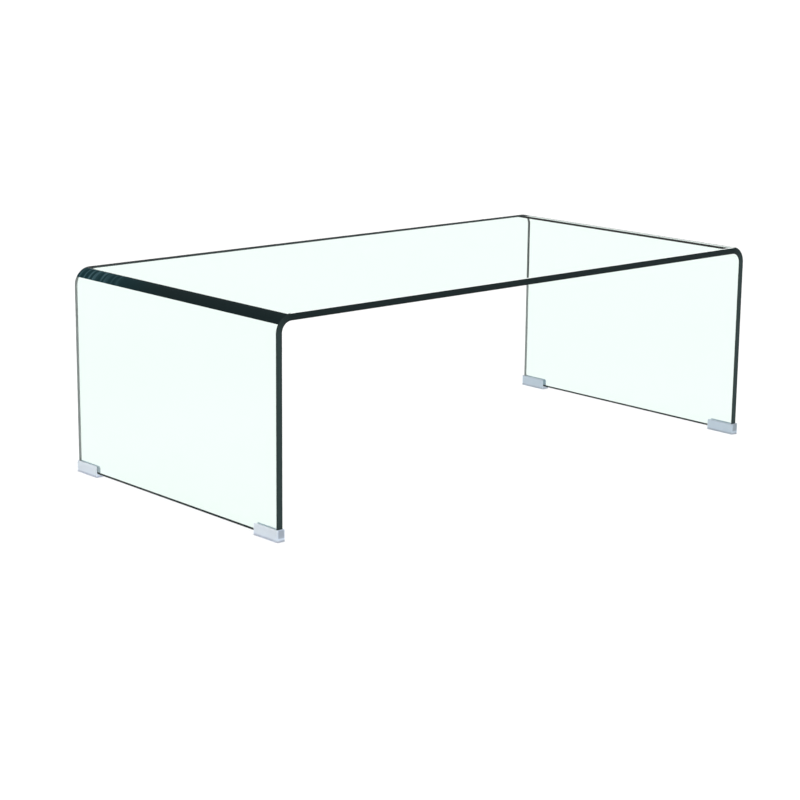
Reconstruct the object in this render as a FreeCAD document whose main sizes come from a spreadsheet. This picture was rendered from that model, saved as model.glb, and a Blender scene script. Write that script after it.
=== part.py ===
import FreeCAD, Part
import math
import os

import Sketcher
from FreeCAD import Placement, Rotation, Vector

# A waterfall coffee table: one thick sheet of clear glass, bent down at both ends, on four clear plastic caps.
# The origin is on the floor under the middle of the table. +X runs along the table, +Y from its front to its
# back, and +Z up. All sizes are in millimetres.

SIZES = {
    # The glass sheet, over its outer faces
    "table_length": 1100.0,
    "table_depth": 550.0,
    "glass_height": 350.0,
    "glass_thickness": 12.0,
    "bend_inner_radius": 18.0,
    "sheet_corner_radius": 3.0,
    "edge_arris": 1.0,
    # The caps that the sheet stands in
    "foot_length": 60.0,
    "foot_height": 19.5,
    "foot_side_wall": 1.4,
    "foot_end_wall": 3.2,
    "foot_floor": 5.0,
    "foot_corner_round": 2.0,
    "foot_tip_round": 2.5,
    "foot_edge_round": 0.4,
    "slot_clearance": 0.2,
    "slot_lead_in": 0.3,
    # The adhesive pad on each cap's floor
    "pad_thickness": 1.0,
    "pad_setback": 4.0,
}

# Faces that turn less than this from one to the next, in radians, meet in a seam and not in an edge.
SEAM_ANGLE = math.radians(5)
# Points this close to a plane count as on it.
ON_PLANE = 1e-4

# Which side of the table each corner is on, along X and along Y
CORNERS = {
    "front_left": (-1, -1),
    "front_right": (1, -1),
    "back_left": (-1, 1),
    "back_right": (1, 1),
}


def make_sheet(doc):
    """The driving sizes, one named cell each."""
    sheet = doc.addObject("Spreadsheet::Sheet", "sizes")
    for row, (alias, value) in enumerate(SIZES.items(), start=1):
        sheet.set(f"A{row}", alias)
        sheet.set(f"B{row}", str(value))
        sheet.setAlias(f"B{row}", alias)
    doc.recompute()
    return sheet


def new_body(doc, label):
    body = doc.addObject("PartDesign::Body", label)
    body.Label = label
    return body


def new_sketch(body, name, plane_role):
    """An empty sketch on one of the body's own origin planes."""
    plane = next(feature for feature in body.Origin.OriginFeatures if feature.Role == plane_role)
    sketch = body.newObject("Sketcher::SketchObject", name)
    sketch.AttachmentSupport = [(plane, "")]
    sketch.MapMode = "FlatFace"
    return sketch


def bind(feature, **expressions):
    """Ties properties of a feature to the sizes."""
    for name, expression in expressions.items():
        feature.setExpression(name, expression)


def dimension(sketch, expression, kind, *points):
    """Adds a dimension to a sketch and ties it to the sizes."""
    value = float(sketch.evalExpression(expression))
    index = sketch.addConstraint(Sketcher.Constraint(kind, *points, value))
    sketch.setExpression(f"Constraints[{index}]", expression)


def constrain(sketch, *rules):
    for rule in rules:
        sketch.addConstraint(Sketcher.Constraint(*rule))


def line(start, end):
    return Part.LineSegment(Vector(*start, 0), Vector(*end, 0))


def quarter_arc(centre, radius, first_quarter):
    """A quarter circle, from the end of that many quarter turns to the next."""
    circle = Part.Circle(Vector(*centre, 0), Vector(0, 0, 1), radius)
    start = first_quarter * math.pi / 2
    return Part.ArcOfCircle(circle, start, start + math.pi / 2)


def add_rectangle(sketch, left, bottom, right, top):
    """A rectangle whose sides stand at these expressions from the sketch's origin, left counted backwards."""
    x_low, y_low, x_high, y_high = (float(sketch.evalExpression(e)) for e in (left, bottom, right, top))
    corners = [(-x_low, y_low), (x_high, y_low), (x_high, y_high), (-x_low, y_high)]
    for index, corner in enumerate(corners):
        sketch.addGeometry(line(corner, corners[(index + 1) % 4]))
    for index in range(4):
        constrain(
            sketch,
            ("Coincident", index, 2, (index + 1) % 4, 1),
            ("Vertical" if index % 2 else "Horizontal", index),
        )
    dimension(sketch, left, "DistanceX", 0, 1, -1, 1)
    dimension(sketch, right, "DistanceX", -1, 1, 1, 1)
    dimension(sketch, bottom, "DistanceY", -1, 1, 0, 1)
    dimension(sketch, top, "DistanceY", -1, 1, 2, 1)


def symmetric(body, kind, name, sketch, length):
    """A pad or a pocket that runs equally to both sides of its sketch."""
    feature = body.newObject(kind, name)
    feature.Profile = sketch
    feature.SideType = "Symmetric"
    bind(feature, Length=length)
    sketch.Document.recompute()
    return feature


def edge_names(shape, test):
    return [f"Edge{number}" for number, edge in enumerate(shape.Edges, start=1) if test(edge)]


def is_sharp(shape, edge):
    """True where two faces meet at an angle, and not where one runs smoothly into the other."""
    middle = edge.valueAt((edge.FirstParameter + edge.LastParameter) / 2)
    faces = shape.ancestorsOfType(edge, Part.Face)
    normals = [face.normalAt(*face.Surface.parameter(middle)) for face in faces]
    turn = normals[0].getAngle(normals[1])
    return SEAM_ANGLE < turn < math.pi - SEAM_ANGLE


def dress(body, kind, name, base, edges, **sizes):
    """A fillet or a chamfer on named edges of the feature before it."""
    feature = body.newObject(kind, name)
    feature.Base = (base, edges)
    bind(feature, **sizes)
    body.Document.recompute()
    return feature


def draw_sheet_outline(sketch, sizes):
    """The sheet seen from the front: two legs, two bends with one centre each, and the top."""
    half = sizes.table_length / 2
    height = sizes.glass_height
    thick = sizes.glass_thickness
    inner = sizes.bend_inner_radius
    outer = inner + thick
    spring = height - outer
    tangent_x = half - outer
    sketch.addGeometry(
        [
            line((-half, 0), (-half, spring)),
            quarter_arc((-tangent_x, spring), outer, 1),
            line((-tangent_x, height), (tangent_x, height)),
            quarter_arc((tangent_x, spring), outer, 0),
            line((half, spring), (half, 0)),
            line((half, 0), (half - thick, 0)),
            line((half - thick, 0), (half - thick, spring)),
            quarter_arc((tangent_x, spring), inner, 0),
            line((tangent_x, height - thick), (-tangent_x, height - thick)),
            quarter_arc((-tangent_x, spring), inner, 1),
            line((thick - half, spring), (thick - half, 0)),
            line((thick - half, 0), (-half, 0)),
        ]
    )
    left_outer, left_bend, top, right_bend, right_outer, right_foot = range(6)
    right_inner, right_inside, underside, left_inside, left_inner, left_foot = range(6, 12)
    constrain(
        sketch,
        # The bends run smoothly into the legs and the top.
        ("Tangent", left_outer, 2, left_bend, 2),
        ("Tangent", left_bend, 1, top, 1),
        ("Tangent", top, 2, right_bend, 2),
        ("Tangent", right_bend, 1, right_outer, 1),
        ("Tangent", right_inner, 2, right_inside, 1),
        ("Tangent", right_inside, 2, underside, 1),
        ("Tangent", underside, 2, left_inside, 1),
        ("Tangent", left_inside, 2, left_inner, 1),
        # The legs end square.
        ("Coincident", right_outer, 2, right_foot, 1),
        ("Coincident", right_foot, 2, right_inner, 1),
        ("Coincident", left_inner, 2, left_foot, 1),
        ("Coincident", left_foot, 2, left_outer, 1),
        ("Horizontal", top),
        ("Horizontal", left_foot),
        ("Horizontal", right_foot),
        ("Vertical", left_outer),
        ("Vertical", right_outer),
        ("Vertical", left_inner),
        ("Vertical", right_inner),
        # Both faces of a bend have one centre, which keeps the sheet equally thick all along.
        ("Coincident", left_bend, 3, left_inside, 3),
        ("Coincident", right_bend, 3, right_inside, 3),
        ("Equal", left_inside, right_inside),
        ("Equal", left_foot, right_foot),
        ("Symmetric", left_outer, 1, right_outer, 2, -2),
        ("PointOnObject", left_outer, 1, -1),
    )
    dimension(sketch, "sizes.table_length", "DistanceX", left_outer, 1, right_outer, 2)
    dimension(sketch, "sizes.glass_height", "DistanceY", left_outer, 1, top, 1)
    dimension(sketch, "sizes.glass_thickness", "DistanceX", left_foot, 2, left_foot, 1)
    dimension(sketch, "sizes.bend_inner_radius", "Radius", left_inside)


def make_glass(doc, sizes):
    """The bent sheet, with dubbed corners at the floor and a small bevel along every cut edge."""
    body = new_body(doc, "bent_glass")
    outline = new_sketch(body, "sheet_outline", "XZ_Plane")
    draw_sheet_outline(outline, sizes)
    bent = symmetric(body, "PartDesign::Pad", "sheet", outline, "sizes.table_depth")

    low = bent.Shape.BoundBox.ZMin
    across_foot = edge_names(
        bent.Shape,
        lambda edge: edge.BoundBox.ZMax < low + ON_PLANE and edge.BoundBox.YLength < ON_PLANE,
    )
    dubbed = dress(
        body, "PartDesign::Fillet", "sheet_corners", bent, across_foot, Radius="sizes.sheet_corner_radius"
    )
    cut_edges = edge_names(dubbed.Shape, lambda edge: is_sharp(dubbed.Shape, edge))
    dress(body, "PartDesign::Chamfer", "arris", dubbed, cut_edges, Size="sizes.edge_arris")

    body.setExpression("Placement.Base.z", "sizes.foot_floor + sizes.pad_thickness")
    return body


def place_at_corner(body, corner):
    """Puts a piece drawn at the lower end of a cut edge at its own corner of the table, facing inwards."""
    side, end = CORNERS[corner]
    half_turn = 180 if end > 0 else 0
    body.Placement = Placement(Vector(0, 0, 0), Rotation(Vector(0, 0, 1), half_turn))
    body.setExpression("Placement.Base.x", f"{side} * (sizes.table_length - sizes.glass_thickness) / 2")
    body.setExpression("Placement.Base.y", f"{end} * sizes.table_depth / 2")


def draw_foot_outline(sketch, sizes):
    """A cap seen from the side: square at its closed end, with a rounded upper corner at its open end."""
    start = -(sizes.foot_end_wall + sizes.slot_clearance)
    end = start + sizes.foot_length
    height = sizes.foot_height
    tip = sizes.foot_tip_round
    sketch.addGeometry(
        [
            line((start, 0), (end, 0)),
            line((end, 0), (end, height - tip)),
            quarter_arc((end - tip, height - tip), tip, 0),
            line((end - tip, height), (start, height)),
            line((start, height), (start, 0)),
        ]
    )
    bottom, open_end, tip_arc, top, closed_end = range(5)
    constrain(
        sketch,
        ("Coincident", bottom, 2, open_end, 1),
        ("Tangent", open_end, 2, tip_arc, 1),
        ("Tangent", tip_arc, 2, top, 1),
        ("Coincident", top, 2, closed_end, 1),
        ("Coincident", closed_end, 2, bottom, 1),
        ("Horizontal", bottom),
        ("Horizontal", top),
        ("Vertical", open_end),
        ("Vertical", closed_end),
        ("PointOnObject", bottom, 1, -1),
    )
    dimension(sketch, "sizes.foot_end_wall + sizes.slot_clearance", "DistanceX", bottom, 1, -1, 1)
    dimension(sketch, "sizes.foot_length", "DistanceX", bottom, 1, bottom, 2)
    dimension(sketch, "sizes.foot_height", "DistanceY", closed_end, 2, closed_end, 1)
    dimension(sketch, "sizes.foot_tip_round", "Radius", tip_arc)


def make_foot(doc, sizes, corner):
    """A moulded cap: a rounded block with a slot for the glass, open at the top and at the inner end."""
    body = new_body(doc, f"{corner}_foot")
    outline = new_sketch(body, f"{corner}_foot_outline", "YZ_Plane")
    draw_foot_outline(outline, sizes)
    width = "sizes.glass_thickness + 2 * (sizes.slot_clearance + sizes.foot_side_wall)"
    block = symmetric(body, "PartDesign::Pad", f"{corner}_foot_block", outline, width)

    closed_end = block.Shape.BoundBox.YMin
    upright_corners = edge_names(
        block.Shape,
        lambda edge: edge.BoundBox.YMax < closed_end + ON_PLANE and edge.BoundBox.XLength < ON_PLANE,
    )
    rounded = dress(
        body,
        "PartDesign::Fillet",
        f"{corner}_foot_corners",
        block,
        upright_corners,
        Radius="sizes.foot_corner_round",
    )
    outer_edges = edge_names(rounded.Shape, lambda edge: is_sharp(rounded.Shape, edge))
    softened = dress(
        body,
        "PartDesign::Fillet",
        f"{corner}_foot_edges",
        rounded,
        outer_edges,
        Radius="sizes.foot_edge_round",
    )

    slot_outline = new_sketch(body, f"{corner}_slot_outline", "YZ_Plane")
    add_rectangle(
        slot_outline,
        "sizes.slot_clearance",
        "sizes.foot_floor",
        "sizes.foot_length - sizes.foot_end_wall - sizes.slot_clearance",
        "sizes.foot_height",
    )
    slot_width = "sizes.glass_thickness + 2 * sizes.slot_clearance"
    slot = symmetric(body, "PartDesign::Pocket", f"{corner}_slot", slot_outline, slot_width)
    if slot.Shape.Volume >= softened.Shape.Volume:
        raise RuntimeError(f"the slot of {body.Label} cut nothing")

    mouth = edge_names(
        slot.Shape,
        lambda edge: edge.BoundBox.ZMin > sizes.foot_height - ON_PLANE and is_sharp(slot.Shape, edge),
    )
    dress(body, "PartDesign::Chamfer", f"{corner}_lead_in", slot, mouth, Size="sizes.slot_lead_in")

    place_at_corner(body, corner)
    return body


def make_pad(doc, corner):
    """The adhesive pad between a cap's floor and the flat of the glass edge."""
    body = new_body(doc, f"{corner}_pad")
    outline = new_sketch(body, f"{corner}_pad_outline", "YZ_Plane")
    slot_end = "sizes.foot_length - sizes.foot_end_wall - sizes.slot_clearance"
    add_rectangle(
        outline,
        "-sizes.pad_setback",
        "sizes.foot_floor",
        f"{slot_end} - sizes.pad_setback",
        "sizes.foot_floor + sizes.pad_thickness",
    )
    width = "sizes.glass_thickness - 2 * sizes.edge_arris"
    symmetric(body, "PartDesign::Pad", f"{corner}_pad_strip", outline, width)
    place_at_corner(body, corner)
    return body


def check(doc, bodies):
    """Stops the build if any feature failed or any piece is not one sound solid."""
    failed = [item.Label for item in doc.Objects if {"Invalid", "Error"} & set(item.State)]
    loose = [item.Label for item in doc.Objects if not getattr(item, "FullyConstrained", True)]
    unsound = [
        body.Label
        for body in bodies
        if body.Shape.isNull() or not body.Shape.isValid() or len(body.Shape.Solids) != 1
    ]
    if failed or loose or unsound:
        raise RuntimeError(f"failed: {failed}, not fully constrained: {loose}, not sound: {unsound}")


def main():
    doc = FreeCAD.newDocument("waterfall_table")
    sizes = make_sheet(doc)
    bodies = [make_glass(doc, sizes)]
    for corner in CORNERS:
        bodies.append(make_foot(doc, sizes, corner))
        bodies.append(make_pad(doc, corner))
    doc.recompute()
    check(doc, bodies)

    os.makedirs("parts", exist_ok=True)
    for body in bodies:
        body.Shape.exportStep(f"parts/{body.Label}.step")
        box = body.Shape.optimalBoundingBox()
        print(
            f"{body.Label}: {box.XLength:.2f} x {box.YLength:.2f} x {box.ZLength:.2f} mm,"
            f" {body.Shape.Volume / 1000:.2f} cm3, {len(body.Shape.Faces)} faces"
        )


main()
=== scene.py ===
import math

import bpy
from mathutils import Matrix, Vector


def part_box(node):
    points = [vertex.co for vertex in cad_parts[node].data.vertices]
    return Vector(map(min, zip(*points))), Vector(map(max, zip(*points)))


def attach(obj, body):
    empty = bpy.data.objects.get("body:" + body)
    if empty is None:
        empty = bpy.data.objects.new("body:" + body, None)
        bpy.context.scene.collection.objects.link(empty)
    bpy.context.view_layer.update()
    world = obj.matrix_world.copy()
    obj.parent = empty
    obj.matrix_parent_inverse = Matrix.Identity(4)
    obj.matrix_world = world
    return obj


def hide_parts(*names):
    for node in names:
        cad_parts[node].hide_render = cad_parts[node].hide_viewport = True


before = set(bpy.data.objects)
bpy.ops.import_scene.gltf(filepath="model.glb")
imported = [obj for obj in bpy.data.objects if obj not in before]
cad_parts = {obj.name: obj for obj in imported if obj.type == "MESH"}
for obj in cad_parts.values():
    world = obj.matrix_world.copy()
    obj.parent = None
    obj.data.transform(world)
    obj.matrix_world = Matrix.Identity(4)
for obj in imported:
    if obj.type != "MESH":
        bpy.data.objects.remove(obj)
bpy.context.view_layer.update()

# A clear glass table: one sheet bent down at both ends, on four clear plastic caps
# Lengths are in metres, and a place in the sheet is along it from its left foot, across it and out of it

# The sheet, apart from the sizes that its CAD node gives
GLASS_THICKNESS = 0.012
HALF_THICKNESS = GLASS_THICKNESS / 2
BEND_INNER_RADIUS = 0.018
SHEET_CORNER_RADIUS = 0.003
EDGE_ARRIS = 0.001
BEND_STEPS = 45
CORNER_STEPS = 8
UP = Vector((0.0, 0.0, 1.0))

# The rings of points round the sheet: how far in from its cut edge and out of its middle layer each lies
EDGE_RINGS = (
    (EDGE_ARRIS, HALF_THICKNESS),
    (0.0, HALF_THICKNESS - EDGE_ARRIS),
    (0.0, EDGE_ARRIS - HALF_THICKNESS),
    (EDGE_ARRIS, -HALF_THICKNESS),
)

# The lip: a flat strip of the top beside each bend, shaded as if it leaned in a little, as on bent sheets
LIP_START = 0.01
LIP_WIDTH = 0.022
LIP_SHOULDER = 0.002
LIP_PLACES = 0.0, LIP_SHOULDER, LIP_WIDTH - LIP_SHOULDER, LIP_WIDTH
LIP_LEAN = math.radians(2.2)

# The strips painted dark as shade from within the sheet: beside the top's front and back edge, and at the
# feet
RIM_FRONT, RIM_BACK = 0.0075, 0.014
FOOT_RIM_STEP = CORNER_STEPS // 2 - 1
# The row of faces between the front and the back strip
MIDDLE_ROW = 1

# Places round a bend, from 0 at the leg to 1 at the top
HALF_STEP = 0.5 / BEND_STEPS
BAND_LOW = 15 / BEND_STEPS
BAND_HIGH = 38 / BEND_STEPS
BEND_MIDDLE = 0.5
# Where the painted reflection along the top's upper arris begins
ARRIS_REFLECTION_START = 0.9

# The sheet's finishes, in the order of its materials
PANE_SLOT, EDGE_SLOT, BAND_SLOT, RIM_SLOT, INSIDE_SLOT = range(5)

# The clear glass: its tint, smears and gloss, and how many faces a look through the sheet passes
WHITE = 1.0, 1.0, 1.0
GLASS_IOR = 1.52
GLASS_TINTS = (0.922, 0.978, 0.953), (0.927, 0.981, 0.957)
SMEAR_RANGE = 0.45, 0.75
SMEAR_ROUGHNESS = 0.025
GLOSS_LEAST, GLOSS_MOST = 0.008, 0.09
SHEET_FACES = 2.0

# What all dark glass shares
DARK_SPECULAR = 0.05
POLISH_ROUGHNESS = 0.03

# The cut edges: their colours, where they darken towards the arrises and how much the legs' sides are paler,
# all painted light and shade
EDGE_CORE, EDGE_RIM = (0.0095, 0.0215, 0.0225), (0.006, 0.012, 0.013)
EDGE_PAINTED_PALE, EDGE_PAINTED_LIGHT = (0.3, 0.45, 0.43), (0.92, 0.97, 0.96)
EDGE_RIM_RANGE = 0.25 * GLASS_THICKNESS, 0.45 * GLASS_THICKNESS
EDGE_LINE_SHARE, EDGE_RIM_SHARE = 0.5, 0.6
EDGE_PALE_SHARE = 0.085
EDGE_FAR_LEAST = 0.05
EDGE_ROUGHNESS = 0.12, 0.3
ARRIS_FADE = 0.1 * EDGE_ARRIS

# The bends' dark bands of painted shade with painted light in streaks: their colours, and as shares of the
# half depth where they are teal and streaked
BAND_DARK, BAND_TEAL = (0.0105, 0.0185, 0.0195), (0.009, 0.03, 0.035)
STREAK_PAINTED_LIGHT = (0.06, 0.12, 0.14)
TEAL_FULL = 0.8
STREAK_START, STREAK_FULL = 0.4, 0.9
STREAK_RANGE = 0.44, 0.68

# The caps: milky body and painted shade, the grey lines of painted shade along them, and the glass's edge
# painted behind their end walls
CAP_MILK_AND_SHADE = (0.765, 0.855, 1.0), (0.545, 0.65, 0.745)
CAP_SIDE_SHARE, CAP_CLOUD_SHARE = 0.8, 0.2
CAP_SHADE_LINE = (0.3, 0.31, 0.35)
CAP_LINE_SHARE = 0.5
CAP_SOLE_LINE = 0.001, 0.005
CAP_UPPER_LINE = 0.0025
CAP_SHOW = 0.45
CAP_BLUR = 0.15 * GLASS_THICKNESS
CAP_ROUGHNESS = 0.3, 0.45

# The adhesive pads
PAD_COLOURS = (0.82, 0.86, 0.88), (0.92, 0.94, 0.95)
PAD_ROUGHNESS = 0.25, 0.6

# Where most values of a noise lie
NOISE_RANGE = 0.3, 0.7

# The camera, which looks down at a point left of and in front of the table's middle
CAMERA_AZIMUTH = math.radians(-41.86)
CAMERA_ELEVATION = math.radians(13.036)
CAMERA_ROLL = math.radians(-0.605)
CAMERA_DISTANCE = 3.3504
CAMERA_TARGET = Vector((-0.2771, -0.251, 0.181))
IMAGE_SIDE = 800
FOCAL_PIXELS = 2075.9
SENSOR_WIDTH = 36.0

# The light: a white wall all round, the dark room above it, and the broad light overhead
WALL_TOP = math.radians(20)
ROOM_START = math.radians(24)
WALL_LIGHT = 1.0
ROOM_LIGHT = 0.08
OVERHEAD_LIGHT = 3.1
OVERHEAD_ANGLE = math.radians(40)
LIGHT_BOUNCES = 32
FLOOR_SIZE = 80.0
FLOOR_COLOUR = (0.9, 0.9, 0.9, 1.0)


class Sheet:
    """The bent sheet's sizes, and where a place along it lies in the table."""

    def __init__(self, node):
        low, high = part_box(node)
        self.half_length = (high.x - low.x) / 2
        self.half_depth = (high.y - low.y) / 2
        self.foot = low.z
        self.outer_radius = BEND_INNER_RADIUS + GLASS_THICKNESS
        self.middle_radius = BEND_INNER_RADIUS + HALF_THICKNESS
        self.leg = high.z - low.z - self.outer_radius
        self.bend = self.middle_radius * math.pi / 2
        self.top = 2 * (self.half_length - self.outer_radius)
        self.total = 2 * self.leg + 2 * self.bend + self.top

    def reach(self, along):
        """How far a place is from the nearer foot, along the sheet."""
        return min(along, self.total - along)

    def turn(self, along):
        """How far round its bend a place is, from 0 on a leg to 1 on the top."""
        return min(max((self.reach(along) - self.leg) / self.bend, 0.0), 1.0)

    def layer(self, along):
        """A point of the middle layer, the way out of the sheet and the way along it."""
        reach = self.reach(along)
        angle = self.turn(along) * math.pi / 2
        out = Vector((-math.cos(angle), 0.0, math.sin(angle)))
        point = Vector((self.outer_radius - self.half_length, 0.0, self.foot + self.leg))
        point += self.middle_radius * out
        point.z += min(reach - self.leg, 0.0)
        point.x += max(reach - self.leg - self.bend, 0.0)
        if along > self.total / 2:
            point.x = -point.x
            out.x = -out.x
        return point, out, Vector((out.z, 0.0, -out.x))

    def lean(self, along):
        """How much a lip's normals lean along the sheet: up to 1 on the left, to -1 on the right, else 0."""
        inward = self.reach(along) - self.leg - self.bend - LIP_START
        share = min(max(min(inward, LIP_WIDTH - inward) / LIP_SHOULDER, 0.0), 1.0)
        return share if along < self.total / 2 else -share

    def stations(self):
        """Where along the sheet its faces are divided: at the corners, round both bends and at the lips."""
        bend = [self.leg + self.bend * step / BEND_STEPS for step in range(BEND_STEPS + 1)]
        lip = [self.leg + self.bend + LIP_START + place for place in LIP_PLACES]
        half = [SHEET_CORNER_RADIUS, *bend, *lip]
        return half + [self.total - along for along in reversed(half)]

    def rows(self):
        """Where across the sheet its faces are divided, between the rows at its cut edges."""
        return [RIM_FRONT - self.half_depth, self.half_depth - RIM_BACK]

    def corner(self, along, across, first_quarter, steps):
        """Rim points round one dubbed corner, as place and outward way in the unrolled sheet."""
        points = []
        for step in steps:
            angle = (first_quarter + step / CORNER_STEPS) * math.pi / 2
            way_along = math.cos(angle)
            way_across = math.sin(angle)
            place = along + SHEET_CORNER_RADIUS * way_along, across + SHEET_CORNER_RADIUS * way_across
            points.append((*place, way_along, way_across))
        return points

    def rim(self):
        """The unrolled sheet's outline: its front edge, right foot, back edge and left foot."""
        stations = self.stations()
        near = SHEET_CORNER_RADIUS
        far = self.total - SHEET_CORNER_RADIUS
        side = self.half_depth - SHEET_CORNER_RADIUS
        coming = range(1, CORNER_STEPS + 1)
        going = range(CORNER_STEPS)
        front = [(along, -self.half_depth, 0.0, -1.0) for along in stations]
        right = self.corner(far, -side, -1, coming) + self.corner(far, side, 0, going)
        back = [(along, self.half_depth, 0.0, 1.0) for along in reversed(stations)]
        left = self.corner(near, side, 1, coming) + self.corner(near, -side, 2, going)
        return front, right, back, left


class SheetMesh:
    """A closed mesh of the sheet, with a bevel along every cut edge and shading normals of its own."""

    def __init__(self, sheet):
        self.sheet = sheet
        self.stations = sheet.stations()
        self.rows = sheet.rows()
        front, right, back, left = sheet.rim()
        self.rim = front + right + back + left
        self.right_foot = range(len(front), len(front) + len(right))
        self.left_foot = range(len(self.rim) - len(left), len(self.rim))
        self.places = []
        self.edge_ways = []
        self.between = {}
        self.add_points()
        self.layers = [sheet.layer(along) for along, _, _ in self.places]
        self.faces = []
        self.normals = []
        self.slots = []
        for ring in range(len(EDGE_RINGS) - 1):
            self.add_edge(ring)
        for side in (1, -1):
            self.add_feet(side)
            self.add_strips(side)

    def add_points(self):
        """Adds the rings round the sheet, then the points between the edges of its outer and inner side."""
        for inset, height in EDGE_RINGS:
            for along, across, way_along, way_across in self.rim:
                self.places.append((along - inset * way_along, across - inset * way_across, height))
                self.edge_ways.append((way_along, way_across))
        for side in (1, -1):
            for at, along in enumerate(self.stations):
                for row, across in enumerate(self.rows):
                    self.between[side, at, row] = len(self.places)
                    self.places.append((along, across, side * HALF_THICKNESS))

    def ring_start(self, side):
        """The first point of the ring that bounds the outer side (1) or the inner one (-1)."""
        return 0 if side > 0 else (len(EDGE_RINGS) - 1) * len(self.rim)

    def line(self, side, at):
        """The points of one station on one side, from the front edge to the back one."""
        start = self.ring_start(side)
        middle = [self.between[side, at, row] for row in range(len(self.rows))]
        back = self.right_foot.stop + len(self.stations) - 1 - at
        return [start + at, *middle, start + back]

    def edge_normal(self, ring, corner):
        """Square to the cut edge on the flat of it, and half way to a face on each arris."""
        _, out, forward = self.layers[corner]
        way_along, way_across = self.edge_ways[corner]
        lean = 1 - ring
        return (way_along * forward + Vector((0.0, way_across, 0.0)) + lean * out).normalized()

    def face_normal(self, side, corner):
        """The true normal, but on the outer side upright from a bend's band on, and leaning at the lips."""
        _, out, forward = self.layers[corner]
        if side < 0:
            return -out
        along = self.places[corner][0]
        above_band = self.sheet.turn(along) > BAND_HIGH - HALF_STEP
        normal = UP if above_band else out
        return (normal + math.tan(LIP_LEAN) * self.sheet.lean(along) * forward).normalized()

    def add_face(self, corners, normals, slot):
        self.faces.append(corners)
        self.normals.extend(normals)
        self.slots.append(slot)

    def add_edge(self, ring):
        """Adds a strip round the sheet below one ring: the upper arris, the flat edge or the lower arris."""
        count = len(self.rim)
        upper = ring * count
        lower = upper + count
        for index in range(count):
            following = (index + 1) % count
            corners = [upper + index, lower + index, lower + following, upper + following]
            self.add_face(corners, [self.edge_normal(ring, corner) for corner in corners], EDGE_SLOT)

    def add_pane(self, side, corners, slot):
        """Adds a face of one side, whose corners are given in the outer side's order."""
        corners = corners[::side]
        self.add_face(corners, [self.face_normal(side, corner) for corner in corners], slot)

    def add_feet(self, side):
        """Adds both ends of one side, round the dubbed corners, in strips down to the foot."""
        start = self.ring_start(side)
        right_end = self.line(side, len(self.stations) - 1)[::-1]
        left_end = self.line(side, 0)
        for end, foot in ((right_end, self.right_foot), (left_end, self.left_foot)):
            points = [start + index for index in foot]
            self.add_pane(side, [*end, points[0], points[-1]], PANE_SLOT)
            for step in range(CORNER_STEPS - 1):
                corners = [points[-1 - step], points[step], points[step + 1], points[-2 - step]]
                self.add_pane(side, corners, RIM_SLOT if step >= FOOT_RIM_STEP else PANE_SLOT)

    def add_strips(self, side):
        """Adds one side between its ends, in strips from the front edge to the back one."""
        for at in range(len(self.stations) - 1):
            turn = self.sheet.turn((self.stations[at] + self.stations[at + 1]) / 2)
            here = self.line(side, at)
            there = self.line(side, at + 1)
            for row in range(len(here) - 1):
                corners = [here[row], there[row], there[row + 1], here[row + 1]]
                self.add_pane(side, corners, strip_slot(side, turn, row))

    def build(self):
        """The mesh, with each point's place in the sheet and its turn round a bend for the materials."""
        points = []
        for (_, across, height), (point, out, _) in zip(self.places, self.layers):
            points.append(point + height * out + Vector((0.0, across, 0.0)))
        mesh = bpy.data.meshes.new("glass_sheet")
        mesh.from_pydata(points, [], self.faces)
        mesh.shade_smooth()
        mesh.normals_split_custom_set(self.normals)
        mesh.polygons.foreach_set("material_index", self.slots)
        place = mesh.attributes.new("sheet_place", "FLOAT_VECTOR", "POINT")
        place.data.foreach_set("vector", [value for spot in self.places for value in spot])
        turn = mesh.attributes.new("turn", "FLOAT", "POINT")
        turn.data.foreach_set("value", [self.sheet.turn(along) for along, _, _ in self.places])
        return mesh


def strip_slot(side, turn, row):
    """The finish of a part of a side, by its place round a bend and its row across the sheet."""
    if side > 0:
        return BAND_SLOT if BAND_LOW < turn < BAND_HIGH else PANE_SLOT
    if turn > BEND_MIDDLE and row != MIDDLE_ROW:
        return RIM_SLOT
    return INSIDE_SLOT if BEND_MIDDLE < turn < 1.0 else PANE_SLOT


def make_glass(sheet):
    piece = bpy.data.objects.new("glass_sheet", SheetMesh(sheet).build())
    bpy.context.scene.collection.objects.link(piece)
    piece.data.materials.append(pane_material())
    piece.data.materials.append(edge_material(sheet))
    piece.data.materials.append(band_material(sheet))
    piece.data.materials.append(rim_material())
    piece.data.materials.append(inside_material())
    piece.visible_shadow = False
    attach(piece, "root")
    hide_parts("bent_glass")


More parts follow.
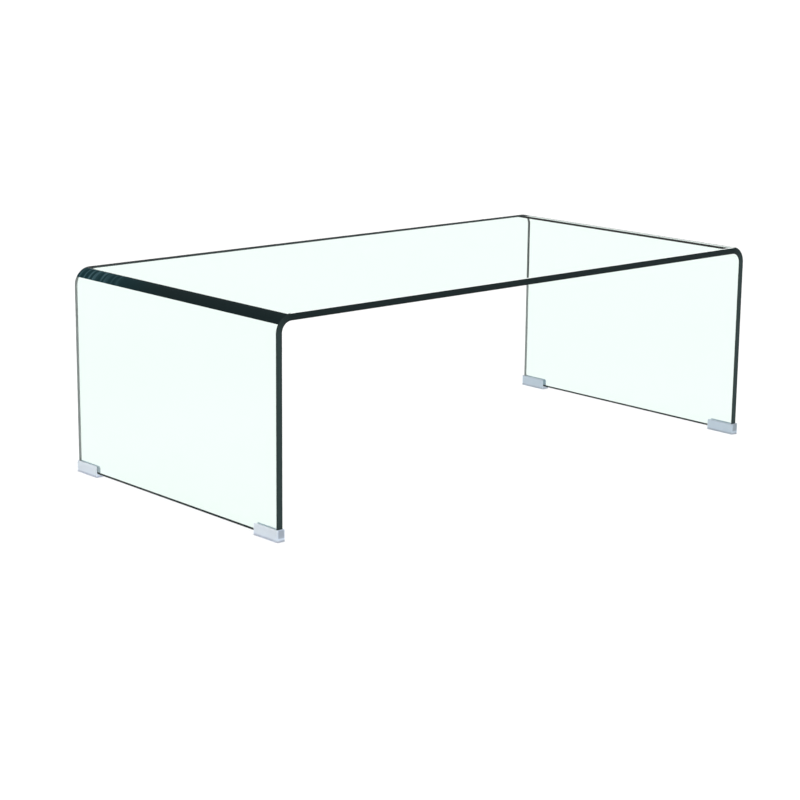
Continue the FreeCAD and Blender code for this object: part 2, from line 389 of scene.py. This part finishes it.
class Material:
    """A material with one Principled shader, and short ways to add nodes to it."""

    def __init__(self, name, **values):
        self.data = bpy.data.materials.new(name)
        self.data.use_nodes = True
        self.tree = self.data.node_tree
        self.shader = self.tree.nodes["Principled BSDF"]
        for socket, value in values.items():
            self.shader.inputs[socket.replace("_", " ")].default_value = value

    def feed(self, socket, value):
        """Links a socket to an input, or sets the input's value."""
        if isinstance(value, bpy.types.NodeSocket):
            self.tree.links.new(value, socket)
        else:
            socket.default_value = value

    def node(self, kind, values=(), **settings):
        """A node with these settings, whose inputs take each value or are linked to each socket."""
        node = self.tree.nodes.new(f"ShaderNode{kind}")
        for name, value in settings.items():
            setattr(node, name, value)
        for name, value in dict(values).items():
            self.feed(node.inputs[name], value)
        return node

    def drive(self, **sockets):
        """Links sockets to the shader's inputs."""
        for name, socket in sockets.items():
            self.tree.links.new(socket, self.shader.inputs[name.replace("_", " ")])

    def surface(self, share, first, second):
        """Shows a mix of two shaders in place of the Principled one."""
        self.tree.nodes.remove(self.shader)
        shaders = {0: share, 1: first.outputs["BSDF"], 2: second.outputs["BSDF"]}
        output = self.tree.nodes["Material Output"].inputs["Surface"]
        self.tree.links.new(self.node("MixShader", shaders).outputs["Shader"], output)

    def attribute(self, name, output):
        return self.node("Attribute", attribute_name=name).outputs[output]

    def split(self, vector):
        """The outputs X, Y and Z of a vector."""
        return self.node("SeparateXYZ", {"Vector": vector}).outputs

    def within(self):
        """1 where the surface is seen from within the piece, and 0 where it is seen from outside."""
        return self.node("NewGeometry").outputs["Backfacing"]

    def faces_passed(self):
        """How many clear faces the look has passed on its way."""
        return self.node("LightPath").outputs["Transmission Depth"]

    def math(self, operation, first, second=0.0):
        return self.node("Math", {0: first, 1: second}, operation=operation).outputs["Value"]

    def product(self, first, *others):
        for other in others:
            first = self.math("MULTIPLY", first, other)
        return first

    def flip(self, value):
        """Takes 0 to 1 and 1 to 0."""
        return self.math("SUBTRACT", 1.0, value)

    def spread(self, value, low, high, start=0.0, end=1.0, smooth=False):
        """Takes low to start and high to end, and what is between them to what is between."""
        kind = "SMOOTHSTEP" if smooth else "LINEAR"
        values = {"Value": value, "From Min": low, "From Max": high, "To Min": start, "To Max": end}
        return self.node("MapRange", values, interpolation_type=kind).outputs["Result"]

    def step(self, value, place, blur, start, end):
        """Goes softly from start to end at a place, over a blur to each side of it."""
        return self.spread(value, place - blur, place + blur, start, end, smooth=True)

    def blend(self, share, first, second):
        """A colour between two, by share."""
        node = self.node("Mix", data_type="RGBA")
        self.feed(node.inputs["Factor"], share)
        for place, colour in ((6, first), (7, second)):
            is_socket = isinstance(colour, bpy.types.NodeSocket)
            self.feed(node.inputs[place], colour if is_socket else (*colour, 1.0))
        return node.outputs[2]

    def noise(self, place, scale, detail=2.0, stretch=(1.0, 1.0, 1.0)):
        """Even noise, stretched along each axis of place."""
        scaled = self.node("VectorMath", {0: place, 1: stretch}, operation="MULTIPLY").outputs["Vector"]
        return self.node("TexNoise", {"Vector": scaled, "Scale": scale, "Detail": detail}).outputs["Fac"]

    def bump(self, height, strength, distance):
        values = {"Height": height, "Strength": strength, "Distance": distance}
        return self.node("Bump", values).outputs["Normal"]


def clouded_tint(glass):
    """The glass's own tint, with faint clouds in it."""
    cloud = glass.noise(glass.attribute("sheet_place", "Vector"), scale=3.0)
    return glass.blend(cloud, *GLASS_TINTS)


def pane_material():
    """Clear float glass with smears and slow waves, and only the gloss that a polarising filter leaves."""
    glass = Material("pane_glass")
    place = glass.attribute("sheet_place", "Vector")
    smear = glass.noise(place, scale=7.0, detail=4.0, stretch=(1.0, 2.5, 1.0))
    wave = glass.noise(place, scale=4.0, detail=0.0, stretch=(1.0, 0.35, 0.0))
    rough = glass.spread(smear, *SMEAR_RANGE, 0.0, SMEAR_ROUGHNESS)
    normal = glass.bump(wave, strength=0.05, distance=0.001)

    # The first sheet in the way gives the tint, and one seen through it adds none
    first = glass.math("LESS_THAN", glass.faces_passed(), SHEET_FACES)
    tint = glass.blend(first, WHITE, clouded_tint(glass))
    finish = {"Roughness": rough, "Normal": normal}
    body = glass.node("BsdfRefraction", {"Color": tint, "IOR": GLASS_IOR, **finish})
    gloss = glass.node("BsdfAnisotropic", {"Color": (*WHITE, 1.0), **finish})

    # Gloss grows towards grazing angles, on the outside only
    mirror = glass.node("Fresnel", {"IOR": GLASS_IOR, "Normal": normal}).outputs["Fac"]
    share = glass.spread(mirror, 0.0, 1.0, GLOSS_LEAST, GLOSS_MOST)
    glass.surface(glass.product(share, glass.flip(glass.within())), body, gloss)
    return glass.data


def edge_material(sheet):
    """A cut and polished edge, dark because its light has come through the length of the sheet."""
    glass = Material(
        "edge_glass", IOR=GLASS_IOR, Specular_IOR_Level=DARK_SPECULAR, Transmission_Weight=0.04
    )
    place = glass.attribute("sheet_place", "Vector")
    split = glass.split(place)
    turn = glass.attribute("turn", "Fac")
    within = glass.within()

    # Darker towards the arrises as painted shade, with fine lines along the edge
    rim = glass.spread(glass.math("ABSOLUTE", split["Z"]), *EDGE_RIM_RANGE, smooth=True)
    lines = glass.noise(place, scale=9.0, detail=3.0, stretch=(1.0, 1.0, 60.0))
    shade = glass.math("ADD", glass.product(lines, EDGE_LINE_SHARE), glass.product(rim, EDGE_RIM_SHARE))
    body = glass.blend(shade, EDGE_CORE, EDGE_RIM)

    # Painted light: paler down the sides of the legs, and more so on a far side seen through its own sheet
    off_middle = glass.math("ABSOLUTE", split["Y"])
    side = glass.math("GREATER_THAN", off_middle, sheet.half_depth - 2 * EDGE_ARRIS)
    leg = glass.product(glass.flip(turn), side)
    painted_paler_sides = glass.blend(glass.product(leg, EDGE_PALE_SHARE), body, EDGE_PAINTED_PALE)
    own_sheet = glass.spread(glass.faces_passed(), SHEET_FACES - 1, SHEET_FACES, 1.0, EDGE_FAR_LEAST)
    far = glass.product(within, leg, own_sheet)

    # A painted reflection: bright along the top's upper arris, as if it mirrored the wall
    arris_low = HALF_THICKNESS - EDGE_ARRIS
    arris = glass.spread(split["Z"], arris_low, arris_low + ARRIS_FADE)
    arris_painted_reflection = glass.product(arris, glass.spread(turn, ARRIS_REFLECTION_START, 1.0), glass.flip(within))
    glass.drive(
        Base_Color=glass.blend(glass.math("MAXIMUM", far, arris_painted_reflection), painted_paler_sides, EDGE_PAINTED_LIGHT),
        Roughness=glass.spread(lines, *NOISE_RANGE, *EDGE_ROUGHNESS),
        Normal=glass.bump(lines, strength=0.1, distance=0.0003),
    )
    return glass.data


def band_material(sheet):
    """The outside of a bend, where the sheet traps its light: painted dark as shade from outside, and clear
    from within.
    """
    glass = Material(
        "bend_glass", IOR=GLASS_IOR, Specular_IOR_Level=DARK_SPECULAR, Roughness=POLISH_ROUGHNESS
    )
    place = glass.attribute("sheet_place", "Vector")
    across = glass.split(place)["Y"]
    depth = sheet.half_depth

    # Painted shade: teal towards the back and nearly black towards the front
    teal = glass.spread(across, 0.0, TEAL_FULL * depth, smooth=True)
    body = glass.blend(teal, BAND_DARK, BAND_TEAL)

    # Painted light: pale streaks round the bend near its back end, strongest at the end itself
    wave = glass.noise(place, scale=110.0, detail=3.0, stretch=(0.1, 1.0, 0.0))
    streak = glass.spread(wave, *STREAK_RANGE, smooth=True)
    near_end = glass.spread(across, STREAK_START * depth, STREAK_FULL * depth, smooth=True)
    streaked = glass.blend(glass.product(streak, near_end), body, STREAK_PAINTED_LIGHT)

    within = glass.within()
    glass.drive(
        Base_Color=glass.blend(within, streaked, GLASS_TINTS[0]),
        Transmission_Weight=within,
    )
    return glass.data


def rim_material():
    """A strip of a face beside a cut edge: clear from the air, and from within painted as dark as the edge,
    as shade.
    """
    glass = Material("rim_glass", IOR=GLASS_IOR, Specular_IOR_Level=0.0, Roughness=POLISH_ROUGHNESS)
    within = glass.within()
    glass.drive(
        Base_Color=glass.blend(within, clouded_tint(glass), EDGE_CORE),
        Transmission_Weight=glass.flip(within),
    )
    return glass.data


def inside_material():
    """The inside of a bend near the top, which sends light on round the bend."""
    glass = Material("bend_inside", IOR=GLASS_IOR, Transmission_Weight=1.0, Roughness=0.0)
    glass.drive(Base_Color=clouded_tint(glass))
    return glass.data


def plastic_material(sheet):
    """Moulded clear plastic, milky and blue, with painted shade, and the glass's dark edge painted on its
    end walls.
    """
    plastic = Material(
        "cap_plastic",
        IOR=1.49,
        Subsurface_Weight=0.7,
        Subsurface_Radius=(1.0, 1.0, 1.0),
        Subsurface_Scale=0.004,
    )
    place = plastic.node("TexCoord").outputs["Object"]
    split = plastic.split(place)
    cloud = plastic.noise(place, scale=70.0, detail=3.0)
    skin = plastic.noise(place, scale=900.0)

    # Painted shade: deeper in tone to the right, over faint clouds in the milk
    right = plastic.spread(split["X"], -sheet.half_length, sheet.half_length, 0.0, CAP_SIDE_SHARE)
    cloud_and_painted_shade = plastic.math("ADD", right, plastic.product(cloud, CAP_CLOUD_SHARE))
    body = plastic.blend(cloud_and_painted_shade, *CAP_MILK_AND_SHADE)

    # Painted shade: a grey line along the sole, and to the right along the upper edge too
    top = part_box("front_left_foot")[1].z
    low = plastic.spread(split["Z"], *CAP_SOLE_LINE, CAP_LINE_SHARE, 0.0, smooth=True)
    high = plastic.spread(split["Z"], top - CAP_UPPER_LINE, top, 0.0, CAP_LINE_SHARE, smooth=True)
    line = plastic.math("MAXIMUM", low, plastic.product(high, right))
    milk = plastic.blend(line, body, CAP_SHADE_LINE)

    # The glass's dark edge, painted on the end walls, blurred by the wall before it
    middle_layer = sheet.half_length - HALF_THICKNESS
    off_layer = plastic.math("SUBTRACT", plastic.math("ABSOLUTE", split["X"]), middle_layer)
    behind = plastic.step(plastic.math("ABSOLUTE", off_layer), HALF_THICKNESS, CAP_BLUR, 1.0, 0.0)
    beyond = plastic.math("GREATER_THAN", plastic.math("ABSOLUTE", split["Y"]), sheet.half_depth)
    above = plastic.step(split["Z"], sheet.foot, CAP_BLUR, 0.0, CAP_SHOW)
    plastic.drive(
        Base_Color=plastic.blend(plastic.product(behind, beyond, above), milk, EDGE_CORE),
        Roughness=plastic.spread(cloud, *NOISE_RANGE, *CAP_ROUGHNESS),
        Normal=plastic.bump(skin, strength=0.1, distance=0.0002),
    )
    return plastic.data


def pad_material():
    """Clear adhesive tape with small bubbles in it."""
    tape = Material("adhesive", IOR=1.45, Transmission_Weight=0.7)
    bubbles = tape.noise(tape.node("TexCoord").outputs["Object"], scale=400.0, detail=1.0)
    tape.drive(
        Base_Color=tape.blend(bubbles, *PAD_COLOURS),
        Roughness=tape.spread(bubbles, *NOISE_RANGE, *PAD_ROUGHNESS),
        Normal=tape.bump(bubbles, strength=0.2, distance=0.0003),
    )
    return tape.data


def finish_nodes(ending, material):
    """Gives the CAD nodes whose names end so their material."""
    for name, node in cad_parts.items():
        if name.endswith(ending):
            node.data.materials.clear()
            node.data.materials.append(material)


def make_stage():
    """A plain pale floor."""
    half = FLOOR_SIZE / 2
    corners = [(-half, -half, 0.0), (half, -half, 0.0), (half, half, 0.0), (-half, half, 0.0)]
    mesh = bpy.data.meshes.new("floor")
    mesh.from_pydata(corners, [], [range(len(corners))])
    floor = bpy.data.objects.new("floor", mesh)
    bpy.context.scene.collection.objects.link(floor)
    paint = Material("floor", Base_Color=FLOOR_COLOUR, Roughness=1.0, Specular_IOR_Level=0.0)
    mesh.materials.append(paint.data)


def make_light():
    """A white surround up to a little above the horizon, a dark room over it and a soft light overhead."""
    world = bpy.data.worlds.new("studio")
    bpy.context.scene.world = world
    world.use_nodes = True
    nodes = world.node_tree.nodes
    links = world.node_tree.links
    place = nodes.new("ShaderNodeTexCoord")
    split = nodes.new("ShaderNodeSeparateXYZ")
    links.new(place.outputs["Generated"], split.inputs["Vector"])
    fade = nodes.new("ShaderNodeMapRange")
    fade.interpolation_type = "SMOOTHSTEP"
    fade.inputs["From Min"].default_value = math.sin(WALL_TOP)
    fade.inputs["From Max"].default_value = math.sin(ROOM_START)
    fade.inputs["To Min"].default_value = WALL_LIGHT
    fade.inputs["To Max"].default_value = ROOM_LIGHT
    links.new(split.outputs["Z"], fade.inputs["Value"])
    nodes["Background"].inputs["Color"].default_value = (*WHITE, 1.0)
    links.new(fade.outputs["Result"], nodes["Background"].inputs["Strength"])
    data = bpy.data.lights.new("overhead", "SUN")
    data.energy = OVERHEAD_LIGHT
    data.angle = OVERHEAD_ANGLE
    light = bpy.data.objects.new("overhead", data)
    light.visible_transmission = False
    light.visible_glossy = False
    bpy.context.scene.collection.objects.link(light)


def make_camera():
    """A camera placed by its angles and its distance from the point that it looks at."""
    level = math.cos(CAMERA_ELEVATION)
    sideways = math.sin(CAMERA_AZIMUTH) * level
    frontwards = -math.cos(CAMERA_AZIMUTH) * level
    back = Vector((sideways, frontwards, math.sin(CAMERA_ELEVATION)))
    data = bpy.data.cameras.new("camera")
    data.sensor_width = SENSOR_WIDTH
    data.lens = FOCAL_PIXELS / IMAGE_SIDE * SENSOR_WIDTH
    camera = bpy.data.objects.new("camera", data)
    bpy.context.scene.collection.objects.link(camera)
    place = Matrix.Translation(CAMERA_TARGET + CAMERA_DISTANCE * back)
    aim = (-back).to_track_quat("-Z", "Y").to_matrix().to_4x4()
    camera.matrix_world = place @ aim @ Matrix.Rotation(-CAMERA_ROLL, 4, "Z")
    bpy.context.scene.camera = camera


def set_picture():
    """Plain colours, and enough bounces for light to find its way through the glass."""
    scene = bpy.context.scene
    scene.view_settings.view_transform = "Standard"
    scene.cycles.max_bounces = LIGHT_BOUNCES
    scene.cycles.transmission_bounces = LIGHT_BOUNCES
    scene.cycles.glossy_bounces = LIGHT_BOUNCES
    scene.cycles.transparent_max_bounces = LIGHT_BOUNCES


bent_glass = Sheet("bent_glass")
make_glass(bent_glass)
finish_nodes("_foot", plastic_material(bent_glass))
finish_nodes("_pad", pad_material())
make_stage()
make_light()
make_camera()
set_picture()
